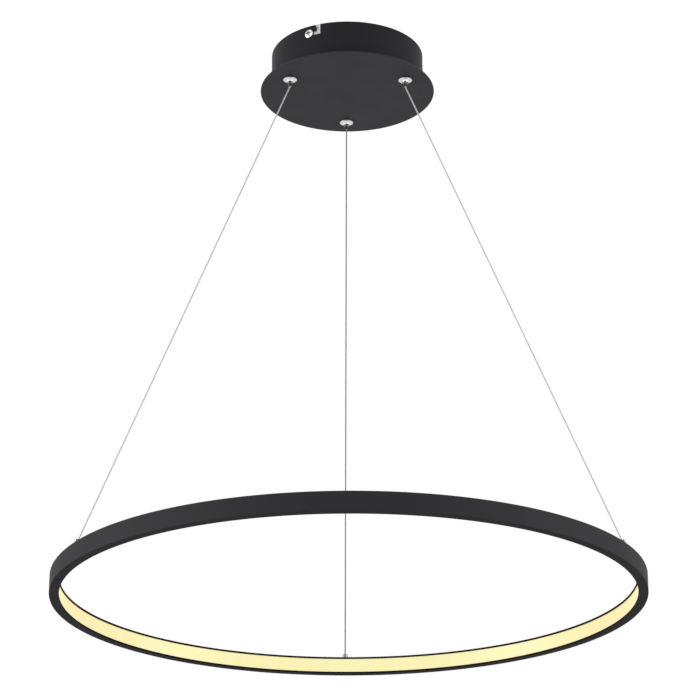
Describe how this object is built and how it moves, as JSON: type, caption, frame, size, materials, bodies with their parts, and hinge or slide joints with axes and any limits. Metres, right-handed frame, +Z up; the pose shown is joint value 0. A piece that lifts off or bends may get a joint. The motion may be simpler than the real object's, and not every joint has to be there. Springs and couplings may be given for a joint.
{
  "type": "ring pendant lamp",
  "caption": "Ceiling pendant with a slim lit ring, slanted steel suspension wires in spring grippers, and a round twist-off canopy over a fixed bracket.",
  "frame": {"origin": "centre of the mounting bracket's top face, on the ceiling and on the axis of the ring and the canopy", "axes": "+Z up into the ceiling, the lamp hangs towards -Z; -Y is the side the picture was taken from and +X is to its right"},
  "size_m": [0.6, 0.6, 0.6168],
  "materials": {
    "black_powder_coat_steel": "matt fine-textured powder coat",
    "black_powder_coat_aluminium": "matt fine-textured powder coat on rolled aluminium",
    "opal_diffuser": "opal acrylic, lit warm white",
    "led_board": "white flexible board with warm LED chips",
    "bright_nickel": "bright nickel plate",
    "zinc_plated_steel": "zinc plated",
    "galvanised_steel": "galvanised sheet",
    "brass_screw": "plain brass",
    "spring_steel": "bright drawn wire",
    "ball_steel": "ground steel balls",
    "wire_rope_steel": "fine stainless wire rope",
    "wire_rope_dark": "fine wire rope, darker",
    "driver_casing": "white moulded casing",
    "driver_cover_white": "white moulded cover",
    "foam_pad": "dense foam adhesive pad"
  },
  "bodies": {
    "bracket": {"mounting_bracket": "galvanised_steel", "canopy_screw_front": "bright_nickel", "canopy_screw_rear": "bright_nickel", "earth_screw": "brass_screw"},
    "canopy": {"canopy_drum": "black_powder_coat_steel", "canopy_plate": "black_powder_coat_steel", "driver_pad": "foam_pad", "led_driver": "driver_casing", "driver_cover_input": "driver_cover_white", "driver_cover_output": "driver_cover_white", "gripper_body_left": "bright_nickel", "gripper_nut_left": "zinc_plated_steel", "gripper_plug_left": "zinc_plated_steel", "gripper_spring_left": "spring_steel", "wire_tail_left": "wire_rope_steel", "suspension_wire_left": "wire_rope_steel", "gripper_body_right": "bright_nickel", "gripper_nut_right": "zinc_plated_steel", "gripper_plug_right": "zinc_plated_steel", "gripper_spring_right": "spring_steel", "wire_tail_right": "wire_rope_steel", "suspension_wire_right": "wire_rope_steel", "gripper_body_back": "bright_nickel", "gripper_nut_back": "zinc_plated_steel", "gripper_plug_back": "zinc_plated_steel", "gripper_spring_back": "spring_steel", "wire_tail_back": "wire_rope_dark", "suspension_wire_back": "wire_rope_dark"},
    "plunger_left": {"plunger_left": "bright_nickel", "gripper_balls_left": "ball_steel"},
    "plunger_right": {"plunger_right": "bright_nickel", "gripper_balls_right": "ball_steel"},
    "plunger_back": {"plunger_back": "bright_nickel", "gripper_balls_back": "ball_steel"},
    "ring": {"ring_housing": "black_powder_coat_aluminium", "ring_diffuser": "opal_diffuser", "led_strip": "led_board", "wire_holder_left": "bright_nickel", "holder_nut_left": "zinc_plated_steel", "wire_end_left": "wire_rope_steel", "wire_holder_right": "bright_nickel", "holder_nut_right": "zinc_plated_steel", "wire_end_right": "wire_rope_steel", "wire_holder_back": "bright_nickel", "holder_nut_back": "zinc_plated_steel", "wire_end_back": "wire_rope_dark"}
  },
  "joints": [
    {"name": "canopy_twist", "type": "hinge", "parent": "bracket", "child": "canopy", "pos_m": [0, 0, -0.0098], "axis": [0, 0, -1], "range_deg": [0, 7.5]},
    {"name": "ring_height", "type": "slide", "parent": "canopy", "child": "ring", "axis": [0, 0, 1], "range_m": [0, 0.2], "deforming": ["suspension_wire_left", "suspension_wire_right", "suspension_wire_back"]},
    {"name": "plunger_left_press", "type": "slide", "parent": "canopy", "child": "plunger_left", "axis": [0, 0, 1], "range_m": [0, 0.0025], "stiffness_N_per_m": 300, "springref_m": -0.004, "deforming": ["gripper_spring_left"]},
    {"name": "plunger_right_press", "type": "slide", "parent": "canopy", "child": "plunger_right", "axis": [0, 0, 1], "range_m": [0, 0.0025], "stiffness_N_per_m": 300, "springref_m": -0.004, "deforming": ["gripper_spring_right"]},
    {"name": "plunger_back_press", "type": "slide", "parent": "canopy", "child": "plunger_back", "axis": [0, 0, 1], "range_m": [0, 0.0025], "stiffness_N_per_m": 300, "springref_m": -0.004, "deforming": ["gripper_spring_back"]}
  ]
}
